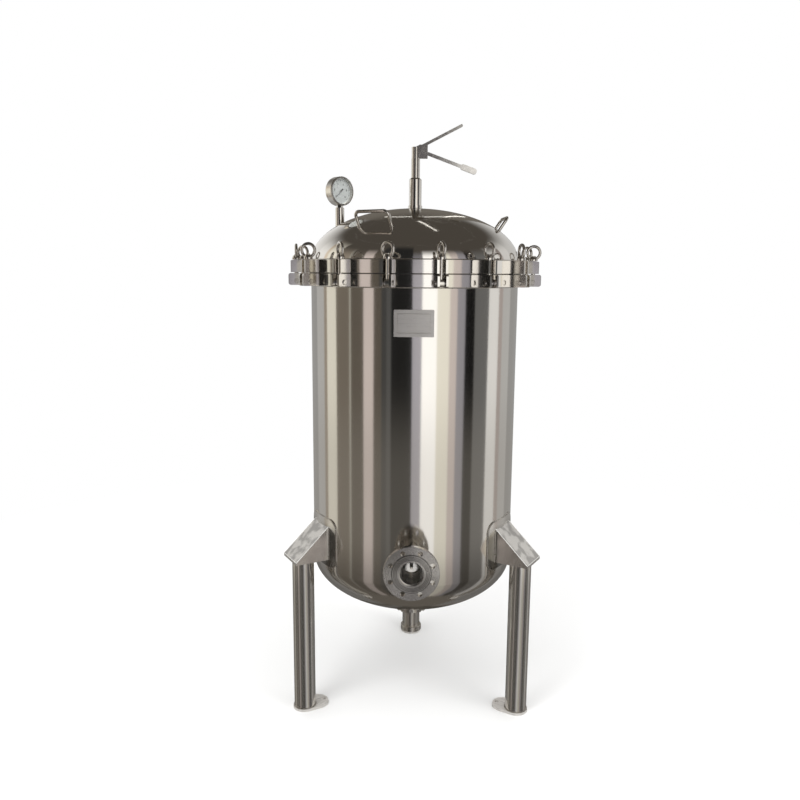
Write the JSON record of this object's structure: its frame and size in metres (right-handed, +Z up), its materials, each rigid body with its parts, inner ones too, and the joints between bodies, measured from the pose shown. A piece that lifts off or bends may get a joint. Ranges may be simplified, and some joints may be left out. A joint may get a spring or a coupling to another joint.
{
  "type": "cartridge filter housing",
  "caption": "Polished stainless multi-cartridge filter vessel on three legs, with swing-bolted domed cover, flanged inlet, bottom outlet, gauge and vent.",
  "frame": {"origin": "on the vessel's axis at floor level, the centre of the anchor bolts", "axes": "+Z up along the vessel's axis, -Y towards the inlet flange at the front, +X to the right"},
  "size_m": [0.9988, 1.065, 2.2792],
  "materials": {
    "polished_steel": "mirror polished stainless",
    "machined_steel": "turned stainless",
    "cast_steel": "polished cast stainless",
    "plate_steel": "satin stainless sheet",
    "gasket_rubber": "matt black silicone",
    "filter_media": "wound polypropylene",
    "window_glass": "clear",
    "pointer_black": "matt black"
  },
  "bodies": {
    "vessel": {"shell": "polished_steel", "bottom_head": "polished_steel", "body_ring": "polished_steel", "body_lugs": "polished_steel", "lug_pins": "cast_steel", "leg_tubes": "polished_steel", "leg_brackets": "polished_steel", "foot_plates": "polished_steel", "inlet_nozzle": "machined_steel", "outlet_nozzle": "machined_steel", "outlet_union_nut": "machined_steel", "outlet_adapter": "machined_steel", "nameplate": "plate_steel", "tube_sheet": "machined_steel", "filter_cartridges": "filter_media", "hold_down_plate": "machined_steel", "tie_rods": "machined_steel", "cover_gasket": "gasket_rubber"},
    "cover": {"cover_dome": "polished_steel", "cover_ring": "polished_steel", "cover_forks": "polished_steel", "cover_handles": "polished_steel", "gauge_case": "cast_steel", "gauge_window": "window_glass", "vent_riser": "polished_steel", "vent_valve_body": "cast_steel"},
    "vent_lever": {"vent_lever": "cast_steel"},
    "gauge_pointer": {"gauge_pointer": "pointer_black"},
    "swing_bolt_01": {"swing_bolt_01": "cast_steel"},
    "eye_nut_01": {"eye_nut_01": "cast_steel"},
    "swing_bolt_02": {"swing_bolt_02": "cast_steel"},
    "eye_nut_02": {"eye_nut_02": "cast_steel"},
    "swing_bolt_03": {"swing_bolt_03": "cast_steel"},
    "eye_nut_03": {"eye_nut_03": "cast_steel"},
    "swing_bolt_04": {"swing_bolt_04": "cast_steel"},
    "eye_nut_04": {"eye_nut_04": "cast_steel"},
    "swing_bolt_05": {"swing_bolt_05": "cast_steel"},
    "eye_nut_05": {"eye_nut_05": "cast_steel"},
    "swing_bolt_06": {"swing_bolt_06": "cast_steel"},
    "eye_nut_06": {"eye_nut_06": "cast_steel"},
    "swing_bolt_07": {"swing_bolt_07": "cast_steel"},
    "eye_nut_07": {"eye_nut_07": "cast_steel"},
    "swing_bolt_08": {"swing_bolt_08": "cast_steel"},
    "eye_nut_08": {"eye_nut_08": "cast_steel"},
    "swing_bolt_09": {"swing_bolt_09": "cast_steel"},
    "eye_nut_09": {"eye_nut_09": "cast_steel"},
    "swing_bolt_10": {"swing_bolt_10": "cast_steel"},
    "eye_nut_10": {"eye_nut_10": "cast_steel"},
    "swing_bolt_11": {"swing_bolt_11": "cast_steel"},
    "eye_nut_11": {"eye_nut_11": "cast_steel"},
    "swing_bolt_12": {"swing_bolt_12": "cast_steel"},
    "eye_nut_12": {"eye_nut_12": "cast_steel"},
    "swing_bolt_13": {"swing_bolt_13": "cast_steel"},
    "eye_nut_13": {"eye_nut_13": "cast_steel"},
    "swing_bolt_14": {"swing_bolt_14": "cast_steel"},
    "eye_nut_14": {"eye_nut_14": "cast_steel"},
    "swing_bolt_15": {"swing_bolt_15": "cast_steel"},
    "eye_nut_15": {"eye_nut_15": "cast_steel"},
    "swing_bolt_16": {"swing_bolt_16": "cast_steel"},
    "eye_nut_16": {"eye_nut_16": "cast_steel"}
  },
  "joints": [
    {"name": "cover_lift", "type": "slide", "parent": "vessel", "child": "cover", "axis": [0, 0, 1], "range_m": [0, 0.35]},
    {"name": "bolt_01_swing", "type": "hinge", "parent": "vessel", "child": "swing_bolt_01", "pos_m": [0.09013, -0.45312, 1.685], "axis": [-0.9808, -0.1951, 0], "range_deg": [-170, 0]},
    {"name": "nut_01_run", "type": "slide", "parent": "swing_bolt_01", "child": "eye_nut_01", "axis": [0, 0, 1], "range_m": [0, 0.35]},
    {"name": "bolt_02_swing", "type": "hinge", "parent": "vessel", "child": "swing_bolt_02", "pos_m": [0.25667, -0.38414, 1.685], "axis": [-0.8315, -0.5556, 0], "range_deg": [-170, 0]},
    {"name": "nut_02_run", "type": "slide", "parent": "swing_bolt_02", "child": "eye_nut_02", "axis": [0, 0, 1], "range_m": [0, 0.35]},
    {"name": "bolt_03_swing", "type": "hinge", "parent": "vessel", "child": "swing_bolt_03", "pos_m": [0.38414, -0.25667, 1.685], "axis": [-0.5556, -0.8315, 0], "range_deg": [-170, 0]},
    {"name": "nut_03_run", "type": "slide", "parent": "swing_bolt_03", "child": "eye_nut_03", "axis": [0, 0, 1], "range_m": [0, 0.35]},
    {"name": "bolt_04_swing", "type": "hinge", "parent": "vessel", "child": "swing_bolt_04", "pos_m": [0.45312, -0.09013, 1.685], "axis": [-0.1951, -0.9808, 0], "range_deg": [-170, 0]},
    {"name": "nut_04_run", "type": "slide", "parent": "swing_bolt_04", "child": "eye_nut_04", "axis": [0, 0, 1], "range_m": [0, 0.35]},
    {"name": "bolt_05_swing", "type": "hinge", "parent": "vessel", "child": "swing_bolt_05", "pos_m": [0.45312, 0.09013, 1.685], "axis": [0.1951, -0.9808, 0], "range_deg": [-170, 0]},
    {"name": "nut_05_run", "type": "slide", "parent": "swing_bolt_05", "child": "eye_nut_05", "axis": [0, 0, 1], "range_m": [0, 0.35]},
    {"name": "bolt_06_swing", "type": "hinge", "parent": "vessel", "child": "swing_bolt_06", "pos_m": [0.38414, 0.25667, 1.685], "axis": [0.5556, -0.8315, 0], "range_deg": [-170, 0]},
    {"name": "nut_06_run", "type": "slide", "parent": "swing_bolt_06", "child": "eye_nut_06", "axis": [0, 0, 1], "range_m": [0, 0.35]},
    {"name": "bolt_07_swing", "type": "hinge", "parent": "vessel", "child": "swing_bolt_07", "pos_m": [0.25667, 0.38414, 1.685], "axis": [0.8315, -0.5556, 0], "range_deg": [-170, 0]},
    {"name": "nut_07_run", "type": "slide", "parent": "swing_bolt_07", "child": "eye_nut_07", "axis": [0, 0, 1], "range_m": [0, 0.35]},
    {"name": "bolt_08_swing", "type": "hinge", "parent": "vessel", "child": "swing_bolt_08", "pos_m": [0.09013, 0.45312, 1.685], "axis": [0.9808, -0.1951, 0], "range_deg": [-170, 0]},
    {"name": "nut_08_run", "type": "slide", "parent": "swing_bolt_08", "child": "eye_nut_08", "axis": [0, 0, 1], "range_m": [0, 0.35]},
    {"name": "bolt_09_swing", "type": "hinge", "parent": "vessel", "child": "swing_bolt_09", "pos_m": [-0.09013, 0.45312, 1.685], "axis": [0.9808, 0.1951, 0], "range_deg": [-170, 0]},
    {"name": "nut_09_run", "type": "slide", "parent": "swing_bolt_09", "child": "eye_nut_09", "axis": [0, 0, 1], "range_m": [0, 0.35]},
    {"name": "bolt_10_swing", "type": "hinge", "parent": "vessel", "child": "swing_bolt_10", "pos_m": [-0.25667, 0.38414, 1.685], "axis": [0.8315, 0.5556, 0], "range_deg": [-170, 0]},
    {"name": "nut_10_run", "type": "slide", "parent": "swing_bolt_10", "child": "eye_nut_10", "axis": [0, 0, 1], "range_m": [0, 0.35]},
    {"name": "bolt_11_swing", "type": "hinge", "parent": "vessel", "child": "swing_bolt_11", "pos_m": [-0.38414, 0.25667, 1.685], "axis": [0.5556, 0.8315, 0], "range_deg": [-170, 0]},
    {"name": "nut_11_run", "type": "slide", "parent": "swing_bolt_11", "child": "eye_nut_11", "axis": [0, 0, 1], "range_m": [0, 0.35]},
    {"name": "bolt_12_swing", "type": "hinge", "parent": "vessel", "child": "swing_bolt_12", "pos_m": [-0.45312, 0.09013, 1.685], "axis": [0.1951, 0.9808, 0], "range_deg": [-170, 0]},
    {"name": "nut_12_run", "type": "slide", "parent": "swing_bolt_12", "child": "eye_nut_12", "axis": [0, 0, 1], "range_m": [0, 0.35]},
    {"name": "bolt_13_swing", "type": "hinge", "parent": "vessel", "child": "swing_bolt_13", "pos_m": [-0.45312, -0.09013, 1.685], "axis": [-0.1951, 0.9808, 0], "range_deg": [-170, 0]},
    {"name": "nut_13_run", "type": "slide", "parent": "swing_bolt_13", "child": "eye_nut_13", "axis": [0, 0, 1], "range_m": [0, 0.35]},
    {"name": "bolt_14_swing", "type": "hinge", "parent": "vessel", "child": "swing_bolt_14", "pos_m": [-0.38414, -0.25667, 1.685], "axis": [-0.5556, 0.8315, 0], "range_deg": [-170, 0]},
    {"name": "nut_14_run", "type": "slide", "parent": "swing_bolt_14", "child": "eye_nut_14", "axis": [0, 0, 1], "range_m": [0, 0.35]},
    {"name": "bolt_15_swing", "type": "hinge", "parent": "vessel", "child": "swing_bolt_15", "pos_m": [-0.25667, -0.38414, 1.685], "axis": [-0.8315, 0.5556, 0], "range_deg": [-170, 0]},
    {"name": "nut_15_run", "type": "slide", "parent": "swing_bolt_15", "child": "eye_nut_15", "axis": [0, 0, 1], "range_m": [0, 0.35]},
    {"name": "bolt_16_swing", "type": "hinge", "parent": "vessel", "child": "swing_bolt_16", "pos_m": [-0.09013, -0.45312, 1.685], "axis": [-0.9808, 0.1951, 0], "range_deg": [-170, 0]},
    {"name": "nut_16_run", "type": "slide", "parent": "swing_bolt_16", "child": "eye_nut_16", "axis": [0, 0, 1], "range_m": [0, 0.35]},
    {"name": "vent_lever_squeeze", "type": "hinge", "parent": "cover", "child": "vent_lever", "pos_m": [0.036, 0, 2.174], "axis": [0, -1, 0], "range_deg": [0, 32], "stiffness_Nm_per_rad": 0.8},
    {"name": "pointer_turn", "type": "hinge", "parent": "cover", "child": "gauge_pointer", "pos_m": [-0.294, 0, 2.02777], "axis": [-0.6691, 0.7431, 0], "range_deg": [0, 270]}
  ],
  "couplings": [
    {"joint": "nut_01_run", "follows": "cover_lift", "ratio": 1},
    {"joint": "nut_02_run", "follows": "cover_lift", "ratio": 1},
    {"joint": "nut_03_run", "follows": "cover_lift", "ratio": 1},
    {"joint": "nut_04_run", "follows": "cover_lift", "ratio": 1},
    {"joint": "nut_05_run", "follows": "cover_lift", "ratio": 1},
    {"joint": "nut_06_run", "follows": "cover_lift", "ratio": 1},
    {"joint": "nut_07_run", "follows": "cover_lift", "ratio": 1},
    {"joint": "nut_08_run", "follows": "cover_lift", "ratio": 1},
    {"joint": "nut_09_run", "follows": "cover_lift", "ratio": 1},
    {"joint": "nut_10_run", "follows": "cover_lift", "ratio": 1},
    {"joint": "nut_11_run", "follows": "cover_lift", "ratio": 1},
    {"joint": "nut_12_run", "follows": "cover_lift", "ratio": 1},
    {"joint": "nut_13_run", "follows": "cover_lift", "ratio": 1},
    {"joint": "nut_14_run", "follows": "cover_lift", "ratio": 1},
    {"joint": "nut_15_run", "follows": "cover_lift", "ratio": 1},
    {"joint": "nut_16_run", "follows": "cover_lift", "ratio": 1}
  ]
}
